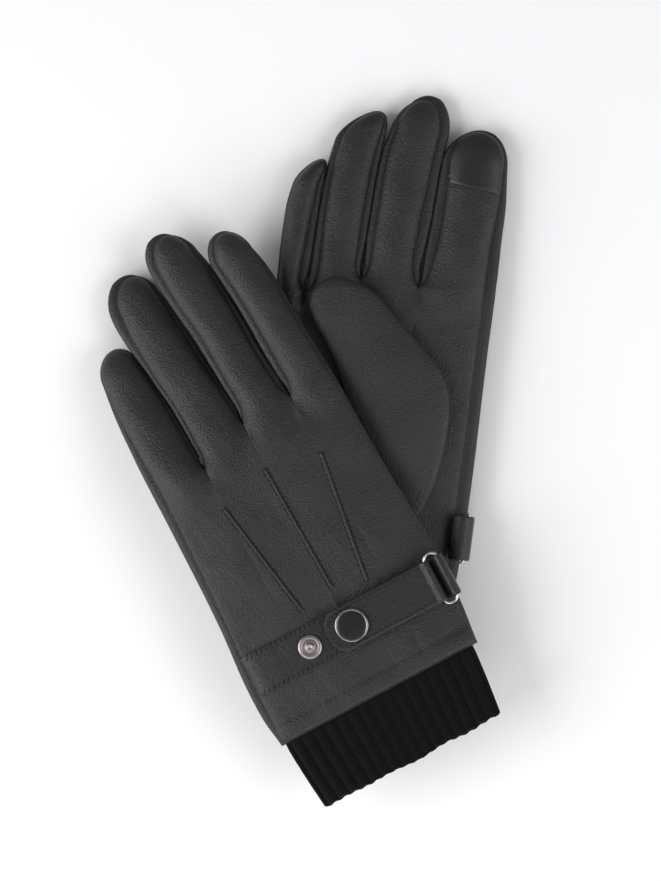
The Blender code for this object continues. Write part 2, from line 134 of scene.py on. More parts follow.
RIGHT = Glove("right", -1, 143.0, 11.0, {
    "cuff": [-45.5, -34.0, -11.0, 14.0, 45.2],
    "crotch": [(137.0, -36.4), (146.2, -12.4), (146.2, 14.8)],
    "outer": ([(0, -45.5), (60, -47.0), (143, -49.6), (155, -49.9), (167, -49.9), (179, -49.4),
               (185, -48.4)],
              [(0, 45.2), (60, 45.4), (121, 45.4), (155, 45.6), (172, 45.8), (190, 47.0), (207, 46.8)]),
    "bulge": ([(0, 0.3), (10, 0.9), (100, 0.9), (200, 0.9)],
              [(0, 1.0), (8, 4.0), (25, 5.0), (122, 5.2), (150, 5.1), (173, 4.6), (196, 2.6), (215, 1.2)]),
    "tips": [(0.5, 0.4), (0.4, 0.9), (0.3, 4.0), (0.3, 1.5)],
    "knit": ([(-34, -44.5), (-15, -45.6), (0, -46.0), (20, -45.5)],
             [(-34, 44.4), (-15, 46.2), (0, 47.4), (20, 47.6)]),
    "fingers": [
        (None, [(137.0, -36.4), (141, -38.8), (147, -39.4), (160, -38.9), (171, -38.2), (185, -37.0)],
         185, (199.3, -36.5), 0.061),
        ([(137.0, -36.4), (142, -33.7), (150, -32.4), (162, -32.4), (173, -32.6), (185, -32.5),
          (200, -31.2), (208, -29.8)],
         [(146.2, -12.4), (151, -14.5), (158, -14.9), (168, -14.7), (178, -14.4), (191, -13.8),
          (201, -13.1), (208, -12.2)], 208, (224.5, -13.8), 0.061),
        ([(146.2, -12.4), (149, -10.4), (155, -9.0), (165, -8.8), (175, -8.5), (194, -8.0),
          (206, -7.2), (217, -5.0)],
         [(146.2, 14.8), (153, 11.9), (162, 11.3), (172, 11.8), (183, 12.6), (194, 13.5),
          (205, 14.4), (217, 15.6)], 217, (232.8, 7.0), 0.061),
        ([(146.2, 14.8), (149, 17.2), (154, 18.8), (161, 20.1), (173, 21.5), (186, 21.9),
          (195, 21.8), (207, 21.3)], None, 207, (221.5, 34.5), 0.061),
    ],
})


# ---------------------------------------------------------------- materials
# One small class wraps a socket, so that sums of sockets and numbers are
# written as sums; `node` makes any other node.
class Wire:
    def __init__(self, tree, socket):
        self.tree, self.socket = tree, socket

    def _math(self, operation, first, second):
        return node(self.tree, "ShaderNodeMath", {"operation": operation}, [first, second])

    def __add__(self, other):
        return self._math("ADD", self, other)

    def __sub__(self, other):
        return self._math("SUBTRACT", self, other)

    def __mul__(self, other):
        return self._math("MULTIPLY", self, other)

    def __rsub__(self, other):
        return self._math("SUBTRACT", other, self)

    __radd__ = __add__
    __rmul__ = __mul__


def node(tree, kind, settings=None, values=(), output=0):
    """A node: its settings first, then a value or a link for each socket."""
    made = tree.nodes.new(kind)
    for key, setting in (settings or {}).items():
        setattr(made, key, setting)
    items = values.items() if isinstance(values, dict) else enumerate(values)
    for key, value in items:
        if isinstance(value, Wire):
            tree.links.new(value.socket, made.inputs[key])
        else:
            made.inputs[key].default_value = value
    return Wire(tree, made.outputs[output])


def new_finish(name, constants):
    """A material with its Principled shader's constant sockets set."""
    material = bpy.data.materials.new(name)
    material.use_nodes = True
    shader = material.node_tree.nodes["Principled BSDF"]
    for socket, value in constants.items():
        shader.inputs[socket].default_value = value
    return material, material.node_tree, shader


def place_of(tree, scale=(1.0, 1.0, 1.0)):
    spot = node(tree, "ShaderNodeTexCoord", output=3)
    return node(tree, "ShaderNodeMapping", {}, {"Vector": spot, "Scale": scale})


def noise(tree, spot, scale, detail=2.0, rough=0.5):
    return node(tree, "ShaderNodeTexNoise", {}, {"Vector": spot, "Scale": scale, "Detail": detail,
                                                 "Roughness": rough})


def blend_colours(tree, factor, dark, light):
    return node(tree, "ShaderNodeMix", {"data_type": "RGBA"}, {0: factor, 6: (*dark, 1), 7: (*light, 1)},
                output=2)


def leather_finish(name, dark, light, grain, rough, sheen):
    """Nappa: pores and fine creases as bump, with cloudy colour and shine."""
    material, tree, shader = new_finish(name, {
        "Specular IOR Level": 0.45, "Sheen Weight": sheen, "Sheen Roughness": 0.45,
        "Sheen Tint": (0.75, 0.78, 0.85, 1.0), "Coat Roughness": 0.3})
    spot = place_of(tree)
    pebble = node(tree, "ShaderNodeTexVoronoi", {"feature": "SMOOTH_F1"},
                  {"Vector": spot, "Scale": 1150.0, "Smoothness": 0.7})
    fine = noise(tree, spot, 2300.0, 3.0, 0.6)
    cloud = noise(tree, spot, 42.0, 3.0)
    crease = noise(tree, place_of(tree, (1.0, 0.55, 1.0)), 260.0, 4.0, 0.65)
    tree.links.new(blend_colours(tree, cloud * 0.5 + fine * 0.25 + pebble * 0.35, dark, light).socket,
                   shader.inputs["Base Color"])
    tree.links.new((cloud * 0.12 + fine * 0.14 + (rough - 0.13)).socket, shader.inputs["Roughness"])
    height = pebble * (0.75 * grain) + fine * (0.75 * grain) + crease * (0.22 * grain)
    bump = node(tree, "ShaderNodeBump", {}, {"Strength": 0.85, "Distance": 0.00034, "Height": height})
    tree.links.new(bump.socket, shader.inputs["Normal"])
    return material


nappa = leather_finish("black_nappa", (0.0065, 0.0065, 0.0069), (0.0165, 0.0165, 0.0175), 1.0, 0.40, 0.04)
gusset_nappa = leather_finish("gusset_nappa", (0.006, 0.006, 0.0064), (0.013, 0.013, 0.0138), 0.8, 0.42, 0.02)
touch_nappa = leather_finish("smooth_touch_leather", (0.0095, 0.0095, 0.010), (0.0145, 0.0145, 0.0153), 0.35,
                             0.40, 0.04)


# ---------------------------------------------------------------- leather skins
# The back and the palm are each one piece of leather, cut with four finger
# tabs.  The skin is a crowned sheet between its seams, and dips to the seam
# at each finger crotch.
SEAM = 1.7          # height of a seam above the middle of the hand
HAND_RISE = 5.5     # height of the hand's face
FINGER_RISE = 6.2
LOWER_LIMIT = 5.3   # the lower skin lies flatter, on what is under it
DIP = 19.0          # length over which a crotch's dip fades out
STEP = 1.5          # spacing of the rows in the hand
ROOTS = 126.0       # the rows close up from here to HAND_END, past every crotch
HAND_END = 150.0
COLUMNS = 25        # points across one finger
MERGE = 0.00002     # points of one sheet nearer than this are one, in metres
BEND_REACH = 15.0   # reach either side of the knuckles; the bend's ends are worked out from it but not used


def mesh_piece(name, points, faces, finish):
    mesh = bpy.data.meshes.new(name)
    mesh.from_pydata(points.tolist(), [], faces.tolist())
    mesh.polygons.foreach_set("use_smooth", np.ones(len(mesh.polygons), bool))
    mesh.materials.append(finish)
    mesh.validate()
    piece = bpy.data.objects.new(name, mesh)
    bpy.context.scene.collection.objects.link(piece)
    return piece


def grid_faces(rows, columns, start=0, closed=False, flip=False):
    """Quads of a grid; a closed grid's last column meets its first."""
    r = np.arange(rows - 1)[:, None]
    c = np.arange(columns if closed else columns - 1)[None, :]
    n = (c + 1) % columns
    quads = np.stack(np.broadcast_arrays(r * columns + c, r * columns + n, (r + 1) * columns + n,
                                         (r + 1) * columns + c), -1).reshape(-1, 4) + start
    return quads[:, ::-1] if flip else quads


def finger_rows(glove, lane):
    """Distances along a finger: even in the hand, closing up at the tip."""
    _, _, shoulder, tip, _ = glove.plan["fingers"][lane]
    crotches = [c[0] for c in glove.plan["crotch"]]
    shared = np.unique(np.concatenate([np.arange(0, ROOTS, STEP), crotches,
                                       np.arange(ROOTS, HAND_END, STEP / 2)]))
    free = np.linspace(shared[-1], shoulder, 26)[1:]
    arc = shoulder + (tip[0] - shoulder) * np.sin(np.linspace(0, math.pi / 2, 17)[1:])
    return np.concatenate([shared, free, arc])


def seam_line(glove, lane, side, a):
    """Across position of a finger's left (0) or right (1) seam below its shoulder."""
    boundary = lane + side
    if boundary in (0, 4):
        return smooth_line(glove.plan["outer"][side], a)
    crotch = glove.plan["crotch"][boundary - 1]
    start = glove.plan["cuff"][boundary]
    knots = glove.plan["fingers"][lane][side]
    hand = start + (crotch[1] - start) * a / crotch[0]
    return np.where(a <= crotch[0], hand, smooth_line(knots, np.maximum(a, crotch[0])))


def finger_edges(glove, lane, a):
    """Both seams of a finger, closed by an elliptic arc from shoulder to tip."""
    _, _, shoulder, tip, _ = glove.plan["fingers"][lane]
    low = np.minimum(a, shoulder)
    left, right = seam_line(glove, lane, 0, low), seam_line(glove, lane, 1, low)
    s = np.clip((a - shoulder) / (tip[0] - shoulder), 0, 1)
    centre = (left + right) / 2 + (tip[1] - (left + right) / 2) * s**1.5
    half = (right - left) / 2 * np.sqrt(1 - s**2)
    return centre - half, centre + half


def crotch_at(glove, lane, side):
    """Distance to the crotch beside a finger; an outer side uses the nearest one."""
    boundary = min(max(lane + side, 1), 3)
    return glove.plan["crotch"][boundary - 1][0]


def droop(glove, lane, a, u):
    """How far the finger has sunk: its slope past the knuckle line.

    At a shared edge the slope is the neighbours' mean, up to the crotch.
    """
    slopes = [finger[4] for finger in glove.plan["fingers"]]
    own = slopes[lane]
    total = np.zeros(np.broadcast(a, u).shape)
    for side in (0, 1):
        other = lane + (1 if side else -1)
        mean = (own + slopes[other]) / 2 if 0 <= other <= 3 else own
        share = np.clip(u if side else -u, 0, 1) ** 2 * (1 - ease((a - crotch_at(glove, lane, side)) / 26))
        total = total + (mean - own) * share
    run = a - glove.knuckle
    return (own + total) * (np.sqrt(run**2 + 60) + run) / 2


def skin_height(glove, lane, a, u, b):
    """Height of the crowned skin over the middle of the hand, before droop.

    The hand is a flat-topped crown over its whole width; a finger is an
    elliptic crown over its own; the two fade into each other below the
    crotches.  Low waves keep the leather from looking pressed.
    """
    low = seam_line(glove, 0, 0, np.minimum(a, HAND_END))
    high = seam_line(glove, 3, 1, np.minimum(a, HAND_END))
    w = np.clip((2 * b - low - high) / (high - low), -1, 1)
    hand = SEAM + (HAND_RISE - SEAM) * (1 - np.abs(w) ** 2.8) ** 0.55
    finger = SEAM + (FINGER_RISE - SEAM) * np.maximum(1 - np.abs(u) ** 2.3, 0) ** 0.55
    _, _, shoulder, tip, _ = glove.plan["fingers"][lane]
    close = np.clip((a - shoulder + 6) / (tip[0] - shoulder + 6), 0, 1)
    finger = SEAM + (finger - SEAM) * (1 - close**2.6) ** 0.5
    left, right = crotch_at(glove, lane, 0), crotch_at(glove, lane, 1)
    crotch = left + (right - left) * (u + 1) / 2
    mixed = ease((a - crotch + DIP * (0.55 + 0.45 * (1 - u**2))) / DIP)
    inner = np.where((u < 0) & (lane > 0) | (u > 0) & (lane < 3), 1.0, 0.35)
    mixed = mixed * (1 - (1 - inner) * u**2 * (1 - ease((a - crotch + 14) / 28)))
    waves = (0.45 * np.sin(a * 0.071 + b * 0.093 + 1.3) * np.sin(a * 0.043 - b * 0.061)
             + 0.20 * np.sin(a * 0.19 + 2.1) * np.sin(b * 0.17 + a * 0.05)
             + 0.07 * np.sin(a * 0.43 + b * 0.31) * np.sin(b * 0.52 - a * 0.22 + 0.7))
    calm = np.clip(1 - np.abs(u) ** 4, 0, 1) * np.clip((tip[0] - a) / 12, 0, 1)
    hem = 0.45 * (1 - ease((a - 7.4) / 1.4)) - 0.12 * np.exp(-((a - 8.5) / 0.7) ** 2)
    return hand * (1 - mixed) + finger * mixed + waves * calm + hem


def lane_grid(glove, lane, a, face):
    """Points of one finger lane of a skin: face is 1 for the upper skin."""
    a = a[:, None]
    turn = math.pi / 2 * 0.86
    u = np.sin(np.linspace(-1, 1, COLUMNS) * turn) / math.sin(turn)
    left, right = finger_edges(glove, lane, a)
    b = (left + right) / 2 + (right - left) / 2 * u
    height = skin_height(glove, lane, a, u, b)
    if face < 0:
        height = np.minimum(height, LOWER_LIMIT)
    hem = np.interp(a, [0, 0.6, 2.0, 4.0], [1.1, 0.3, 0.05, 0])
    return a + 0 * u, b, face * (height - hem) - droop(glove, lane, a, u)


def build_skin(glove, face, finish, cut=None):
    """All four lanes as one welded sheet, with a turned-under hem at the cuff."""
    points, faces, start = [], [], 0
    for lane in range(4):
        rows = finger_rows(glove, lane)
        if cut and lane == 3:
            rows = rows[rows < cut + 4]
        a, b, h = lane_grid(glove, lane, rows, face)
        if cut and lane == 3:
            h = h - face * 0.6 * ease((a - cut - 0.8 - PATCH_TILT * np.linspace(-1, 1, COLUMNS)) / 1.2)
        under = np.array([[9.0, 1.9], [2.5, 1.9], [0.7, 1.6], [0.1, 1.3]])
        fold_a = under[:, :1] + 0 * a[:1]
        fold_b = np.repeat(b[:1], 4, 0)
        fold_h = face * np.maximum(np.abs(h[:1]) - under[:, 1:] + 1.1, 0.5)
        a, b, h = np.vstack([fold_a, a]), np.vstack([fold_b, b]), np.vstack([fold_h, h])
        points.append(glove.world(a, b, h))
        faces.append(grid_faces(a.shape[0], COLUMNS, start, flip=face < 0))
        start += a.size
    label = "back" if face == glove.up else "palm"
    piece = mesh_piece(glove.name(f"{label}_leather"), np.vstack(points), np.vstack(faces), finish)
    weld(piece)
    return piece


def weld(piece):
    cage = bmesh.new()
    cage.from_mesh(piece.data)
    bmesh.ops.remove_doubles(cage, verts=cage.verts, dist=MERGE)
    bmesh.ops.dissolve_degenerate(cage, edges=cage.edges, dist=MERGE / 4)
    cage.to_mesh(piece.data)
    cage.free()
    piece.data.polygons.foreach_set("use_smooth", np.ones(len(piece.data.polygons), bool))


def bend_at_knuckles(glove, piece):
    """Bake the piece's placement into its points; the ends of the bend either side of the knuckle line are
    worked out but not used.
    """
    start = glove.world(np.array(glove.knuckle - BEND_REACH), 0, 0)[0]
    end = glove.world(np.array(glove.knuckle + BEND_REACH), 0, 0)[0]
    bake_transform(piece)


PATCH_CUT = 195.0   # cross seam of the touch patch
PATCH_TILT = -1.6   # the seam's slant, over half of the finger's width
FINGERS = ("little", "ring", "middle", "index")
for glove in (LEFT, RIGHT):
    for face in (1, -1):
        cut = PATCH_CUT if face != glove.up else None
        skin = build_skin(glove, face, nappa, cut)
        bend_at_knuckles(glove, skin)
        side = glove.side
        if face == glove.up:
            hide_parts(f"{side}_back_panel")
        else:
            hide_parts(f"{side}_palm_panel", *[f"{side}_{f}_finger" for f in FINGERS])


# ---------------------------------------------------------------- fourchettes and side seams
# A strip of leather runs round each finger between the back and the palm.
# It bows out from its seams, and meets the next finger's strip in the gap.
STRIP_POINTS = 9
LIP_DIP = 0.35      # groove beside each of a strip's two seams
SHARED_PRESS = 0.1  # the two strips of a gap press this far into each other
WIDE_BULGE = 5.0    # the most a strip between two fingers bows out
SLIM_BULGE = 3.4


def strip_bulge(glove, lane, side, a):
    """How far the strip bows out: half of the gap, or the outer side's own."""
    boundary = lane + side
    if boundary in (0, 4):
        return smooth_line(glove.plan["bulge"][side], a)
    neighbour = lane + (1 if side else -1)
    own = finger_edges(glove, lane, a)[side]
    other = finger_edges(glove, neighbour, a)[1 - side]
    tip = glove.plan["fingers"][neighbour][3][0]
    gap = np.abs(other - own) / 2 + SHARED_PRESS
    gap = np.where(a > tip - 3, WIDE_BULGE, gap)
    inner_left = side == 0 and lane in (1, 2)
    return np.clip(gap, 0.0, WIDE_BULGE if inner_left == (glove.up == 1) else SLIM_BULGE)


def soften(values, reach):
    """A running mean that keeps both ends where they are."""
    padded = np.concatenate([np.full(reach, values[0]), values, np.full(reach, values[-1])])
    return np.convolve(padded, np.full(2 * reach + 1, 1 / (2 * reach + 1)), "valid")


def build_strips(glove, finish):
    points, faces, start = [], [], 0
    for lane in range(4):
        rows = finger_rows(glove, lane)
        ends = []
        for side in (0, 1):
            boundary = lane + side
            begin = 0.0 if boundary in (0, 4) else crotch_at(glove, lane, side)
            a = rows[rows >= begin - 1e-6]
            ends.append((a, finger_edges(glove, lane, a)[side], strip_bulge(glove, lane, side, a),
                         np.full(a.shape, 2.0 * side - 1)))
        (la, lb, lw, lu), (ra, rb, rw, ru) = ends
        a = np.concatenate([la, ra[-2::-1]])
        b = np.concatenate([lb, rb[-2::-1]])
        width = np.concatenate([lw, rw[-2::-1]])
        u = np.concatenate([lu, ru[-2::-1]])
        top = len(la) - 1
        near = np.abs(np.arange(len(a)) - top)
        at_tip = np.where(np.arange(len(a)) < top, *glove.plan["tips"][lane])
        width = width + (at_tip - width) * (1 - ease((near - 4) / 16))
        width = soften(width, 5)
        da, db = np.gradient(a), np.gradient(b)
        length = np.hypot(da, db) + 1e-9
        na, nb = soften(-db / length, 3), soften(da / length, 3)
        if nb[2] > 0:
            na, nb = -na, -nb
        t = np.linspace(0, 1, STRIP_POINTS)
        bow = np.sin(math.pi * t) ** 0.8
        h = SEAM * np.cos(math.pi * t)
        dip = LIP_DIP * (np.sin(math.pi * np.clip(t * 6, 0, 1))
                         + np.sin(math.pi * np.clip(6 - t * 6, 0, 1)))
        sa = a[:, None] + na[:, None] * width[:, None] * bow
        sb = b[:, None] + nb[:, None] * width[:, None] * bow - nb[:, None] * dip * 0.6
        sh = h[None, :] - droop(glove, lane, a, u)[:, None]
        points.append(glove.world(sa, sb, sh))
        faces.append(grid_faces(len(a), STRIP_POINTS, start))
        start += sa.size
    return mesh_piece(glove.name("fourchettes"), np.vstack(points), np.vstack(faces), finish)


for glove in (LEFT, RIGHT):
    strips = build_strips(glove, gusset_nappa)
    bend_at_knuckles(glove, strips)
    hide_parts(f"{glove.side}_little_side_seam", f"{glove.side}_thumb_side_seam")


# ---------------------------------------------------------------- touch patch
# Smoother leather over the pad of the index fingertip.  Its cross seam is a
# folded edge that stands a little above the leather it is sewn to.
PATCH_RISE = 0.28


def build_patch(glove):
    face = -glove.up
    rows = finger_rows(glove, 3)
    rows = rows[rows > PATCH_CUT + 2.5]
    a, b, h = lane_grid(glove, 3, rows, face)
    start = PATCH_CUT + PATCH_TILT * np.linspace(-1, 1, COLUMNS)
    eb = lane_grid(glove, 3, np.array([PATCH_CUT]), face)[1]
    eu = (2 * eb - eb.min() - eb.max()) / (eb.max() - eb.min())
    edge_rows = [(0.0, -0.35), (0.05, 0.1), (0.35, PATCH_RISE), (1.6, PATCH_RISE)]
    grids = []
    for ahead, rise in edge_rows:
        low, high = finger_edges(glove, 3, start + ahead)
        nb = (low + high) / 2 + (high - low) / 2 * eu
        nh = skin_height(glove, 3, start + ahead, eu, nb)
        nh = face * (np.minimum(nh, LOWER_LIMIT) if face < 0 else nh) + face * rise
        grids.append((start[None] + ahead, nb, nh - droop(glove, 3, start[None] + ahead, eu)))
    rise = PATCH_RISE * np.clip((rows[-1] - rows) / 6, 0, 1)[:, None]
    a = np.vstack([g[0] for g in grids] + [a])
    b = np.vstack([g[1] for g in grids] + [b])
    h = np.vstack([g[2] for g in grids] + [h + face * rise])
    piece = mesh_piece(glove.name("patch_leather"), glove.world(a, b, h),
                       grid_faces(a.shape[0], COLUMNS, flip=face < 0), touch_nappa)
    weld(piece)
    return piece


for glove in (LEFT, RIGHT):
    patch = build_patch(glove)
    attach(patch, f"{glove.side}_fingers")
    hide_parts(f"{glove.side}_touch_patch")


# ---------------------------------------------------------------- thumbs
# Each thumb is a soft pillow laid flat across the palm.  Its outline is two
# edges from the root to the tip, and its section is a flat oval.
THUMB_LEFT_EDGE = [(44, 8), (62, 0), (85, -8.5), (105, -17.5), (117.3, -25.2), (126, -31.6),
                   (133, -34.2), (140, -32.2), (144.6, -27), (146.3, -20.6)]
THUMB_RIGHT_EDGE = [(36, 24), (42, 28.6), (52, 32.6), (66.5, 35.4), (83, 36.6), (97, 35.6),
                    (107, 31.6), (120, 19.4), (132, 6.0), (142.3, -6.2), (146.3, -20.6)]
THUMB_MIDDLE = 9.4
THUMB_RISE = 3.7
THUMB_ROOTS = {"left": ((28, 28), (106, -41)), "right": ((46, 28), (141.5, -23.5))}
THUMB_AROUND = 48


def along_edge(knots, s):
    """Points at shares s of a smooth curve's length."""
    knots = np.array(knots, float)
    length = np.concatenate([[0], np.cumsum(np.hypot(*np.diff(knots, axis=0).T))])
    return np.stack([smooth_line(np.stack([length, knots[:, k]], 1), s * length[-1]) for k in (0, 1)], 1)


def build_thumb(glove):
    """Oval sections between the two edges; the root sinks into the palm."""
    s = np.concatenate([np.linspace(0, 0.8, 46), 0.8 + 0.2 * np.sin(np.linspace(0, math.pi / 2, 22)[1:])])
    low, high = along_edge(THUMB_LEFT_EDGE, s), along_edge(THUMB_RIGHT_EDGE, s)
    v = np.linspace(0, 2 * math.pi, THUMB_AROUND, endpoint=False)
    across = (1 + np.cos(v)) / 2
    a = low[:, :1] + (high[:, :1] - low[:, :1]) * across
    b = low[:, 1:] + (high[:, 1:] - low[:, 1:]) * across
    wide = np.hypot(*(high - low).T)[:, None]
    full = np.clip(wide / 26, 0, 1) ** 0.45 * (0.35 + 0.65 * ease(s / 0.3))[:, None]
    lift = np.where(np.sin(v) > 0, 1.0, -0.8) * np.abs(np.sin(v)) ** 0.8
    waves = 0.35 * np.sin(a * 0.13 + b * 0.07) * np.sin(b * 0.16 - a * 0.05) * np.clip(lift, 0, 1)
    h = THUMB_MIDDLE - 1.0 * (1 - ease(s / 0.3))[:, None] + lift * THUMB_RISE * full + waves * full
    (base_a, base_b), (base_tip_a, base_tip_b) = THUMB_ROOTS["right"]
    (root_a, root_b), (tip_a, tip_b) = THUMB_ROOTS[glove.side]
    turn = (math.atan2(tip_b - root_b, tip_a - root_a) - math.atan2(base_tip_b - base_b, base_tip_a - base_a))
    scale = math.hypot(tip_b - root_b, tip_a - root_a) / math.hypot(base_tip_b - base_b, base_tip_a - base_a)
    da, db = (a - base_a) * scale, (b - base_b) * scale
    a = root_a + da * math.cos(turn) - db * math.sin(turn)
    b = root_b + da * math.sin(turn) + db * math.cos(turn)
    piece = mesh_piece(glove.name("thumb_leather"), glove.world(a, b, -glove.up * h),
                       grid_faces(len(s), THUMB_AROUND, closed=True), nappa)
    close_up(piece)
    return piece


def close_up(piece):
    """Weld a tube's points, close its open ends and turn its faces outwards."""
    cage = bmesh.new()
    cage.from_mesh(piece.data)
    bmesh.ops.remove_doubles(cage, verts=cage.verts, dist=0.00001)
    rims = [edge for edge in cage.edges if edge.is_boundary]
    if rims:
        bmesh.ops.holes_fill(cage, edges=rims, sides=0)
    bmesh.ops.recalc_face_normals(cage, faces=cage.faces)
    cage.to_mesh(piece.data)
    cage.free()


for glove in (LEFT, RIGHT):
    thumb = build_thumb(glove)
    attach(thumb, f"{glove.side}_thumb")
    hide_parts(f"{glove.side}_thumb")


# ---------------------------------------------------------------- knit cuffs and linings
# The cuff is a flattened tube of rib knit, doubled over at its free end, and
# sewn in under the leather.  The lining is a thin tube inside the leather.
RIBS = 34
RIB_RISE = 1.5
KNIT_END = -34.0
KNIT_TOP = 18.0


def rib_knit_finish():
    """Rows of V-shaped stitches, from a map in millimetres round and along; the colour is darker in the
    stitches' grooves as painted shade.
    """
    material, tree, shader = new_finish("rib_knit", {
        "Roughness": 0.95, "Specular IOR Level": 0.08, "Sheen Weight": 0.08, "Sheen Roughness": 0.6,
        "Sheen Tint": (0.5, 0.5, 0.55, 1.0)})
    spot = node(tree, "ShaderNodeTexCoord", output=2)
    parts = node(tree, "ShaderNodeSeparateXYZ", {}, {"Vector": spot})
    round_it, along_it = parts, Wire(tree, parts.socket.node.outputs[1])
    column = node(tree, "ShaderNodeMath", {"operation": "PINGPONG"}, [round_it, 0.62])
    stitch = node(tree, "ShaderNodeMath", {"operation": "PINGPONG"}, [along_it + column * 1.1, 0.85])
    fuzz = noise(tree, spot, 2.4, 4.0, 0.7)
    height = stitch * 0.9 + column * 0.7 + fuzz * 0.55
    tree.links.new(node(tree, "ShaderNodeBump", {}, {"Strength": 0.9, "Distance": 0.0004,
                                                     "Height": height}).socket, shader.inputs["Normal"])
    # painted shade: the colour follows the stitch relief and is darker in its grooves, with random fuzz tone
    # mixed in
    painted_stitch_shade_and_fuzz = stitch * 0.55 + fuzz * 0.45
    tree.links.new(blend_colours(tree, painted_stitch_shade_and_fuzz, (0.0018, 0.0018, 0.002), (0.0062, 0.0062, 0.0066)).socket,
                   shader.inputs["Base Color"])
    return material


def lining_finish():
    """Brushed fleece: a fine uneven nap."""
    material, tree, shader = new_finish("fleece_lining", {
        "Roughness": 0.97, "Specular IOR Level": 0.1, "Sheen Weight": 0.3, "Sheen Roughness": 0.7})
    nap = noise(tree, place_of(tree), 1500.0, 4.0, 0.7)
    tree.links.new(blend_colours(tree, nap, (0.006, 0.006, 0.0065), (0.019, 0.019, 0.02)).socket,
                   shader.inputs["Base Color"])
    tree.links.new(node(tree, "ShaderNodeBump", {}, {"Strength": 0.7, "Distance": 0.0003,
                                                     "Height": nap}).socket, shader.inputs["Normal"])
    return material


def flat_tube(glove, name, rows, columns, finish, ribs=0):
    """Rows of (along, half height, side inset, rib height, ripple) round the hand."""
    a0, half, inset, rise, ripple = (np.array(rows).T[k][:, None] for k in range(5))
    angle = np.linspace(0, 2 * math.pi, columns, endpoint=False)
    cos, sin = np.cos(angle), np.sin(angle)
    flat_b = np.sign(cos) * np.abs(cos) ** 0.77
    flat_h = np.sign(sin) * np.abs(sin) ** 0.5
    plan = glove.plan["knit" if ribs else "outer"]
    low, high = smooth_line(plan[0], a0) + inset, smooth_line(plan[1], a0) - inset
    half_b = (high - low) / 2
    ring_b, ring_h = flat_b * half_b, flat_h * half
    step_b = np.diff(ring_b, axis=1, append=ring_b[:, :1])
    step_h = np.diff(ring_h, axis=1, append=ring_h[:, :1])
    step = np.hypot(step_b, step_h)
    share = (np.cumsum(step[:1], 1) - step[:1]) / step[:1].sum()
    wave = 0.5 + 0.5 * np.cos(share * ribs * 2 * math.pi)
    ridge = rise * (wave**0.45 - 0.75)
    tangent_b = np.roll(ring_b, -1, 1) - np.roll(ring_b, 1, 1)
    tangent_h = np.roll(ring_h, -1, 1) - np.roll(ring_h, 1, 1)
    length = np.hypot(tangent_b, tangent_h) + 1e-9
    b = (low + high) / 2 + ring_b + tangent_h / length * ridge
    h = ring_h - tangent_b / length * ridge
    a = a0 + ripple * (0.5 * np.cos(share * ribs * 2 * math.pi)
                       + 1.1 * np.sin(share * 19) + 0.7 * np.sin(share * 47))
    faces = grid_faces(len(a0), columns, closed=True)
    piece = mesh_piece(name, glove.world(a, b, h), faces, finish)
    layer = piece.data.uv_layers.new(name="knit")
    around = share * step[:1].sum()
    spots = np.stack(np.broadcast_arrays(around, a0), -1).reshape(-1, 2)
    corner = np.empty(len(piece.data.loops), int)
    piece.data.loops.foreach_get("vertex_index", corner)
    layer.data.foreach_set("uv", spots[corner].ravel())
    return piece


rib_knit, fleece = rib_knit_finish(), lining_finish()
for glove in (LEFT, RIGHT):
    outer = [(a, 3.7, 0.6, RIB_RISE * (0.4 + 0.6 * ease((2 - a) / 6)), 0.4 * ease(-a / 30))
             for a in np.linspace(KNIT_TOP, KNIT_END + 0.8, 40)]
    turn = [(KNIT_END + 0.25, 3.4, 0.9, RIB_RISE * 0.9, 0.45), (KNIT_END, 3.0, 1.4, RIB_RISE * 0.7, 0.45),
            (KNIT_END + 0.25, 2.5, 1.9, RIB_RISE * 0.5, 0.45),
            (KNIT_END + 0.9, 2.2, 2.2, RIB_RISE * 0.4, 0.4)]
    inner = [(a, 2.2, 2.2, RIB_RISE * 0.3, 0) for a in np.linspace(-32, KNIT_TOP, 24)]
    knit = flat_tube(glove, glove.name("knitted_cuff"), outer + turn + inner, RIBS * 10, rib_knit, RIBS)
    close_up(knit)
    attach(knit, f"{glove.side}_glove")
    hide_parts(f"{glove.side}_knit_cuff")
    reach = glove.knuckle - 16
    run = np.linspace(KNIT_TOP + 2, reach, 20)
    skin_rows = [(a, 3.6, 2.4 + 4 * ease((a - reach + 20) / 20), 0, 0) for a in run]
    back_rows = [(a, 2.9, 3.0 + 4 * ease((a - reach + 20) / 20), 0, 0) for a in run[::-1]]
    sleeve = flat_tube(glove, glove.name("lining_sleeve"), skin_rows + back_rows, 72, fleece)
    close_up(sleeve)
    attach(sleeve, f"{glove.side}_glove")
    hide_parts(f"{glove.side}_back_lining", f"{glove.side}_palm_lining")


# ---------------------------------------------------------------- wrist bands and straps
# Flat leather strips with rolled edges.  The band is sewn round the wrist and
# doubled over the ring's outer bar; the strap hangs on the inner bar and
# closes on the snap.  Paths are (across, height) on the back side.
SECTION_POINTS = 36
BAND_MID = 34.3
BAND_HALF = 10.2
BAR_AT = 45.8
OUTER_BAR_AT = 52.3
BAR_LEVEL = 8.7
STRAP_LEVEL = 8.75  # middle of the strap's leather, where it lies on the band


def surface(glove, a, b, face):
    """Height of the leather at any place of a glove's face."""
    a, b = np.broadcast_arrays(np.asarray(a, float), np.asarray(b, float))
    height = np.zeros(a.shape)
    for lane in range(4):
        left, right = finger_edges(glove, lane, a)
        u = 2 * (b - left) / (right - left) - 1
        here = ((u >= -1) | (lane == 0)) & ((u <= 1) | (lane == 3))
        u = np.clip(u, -1, 1)
        level = skin_height(glove, lane, a, u, b)
        level = np.minimum(level, LOWER_LIMIT) if face < 0 else level
        level = level * face - droop(glove, lane, a, u)
        height = np.where(here, level, height)
    return height


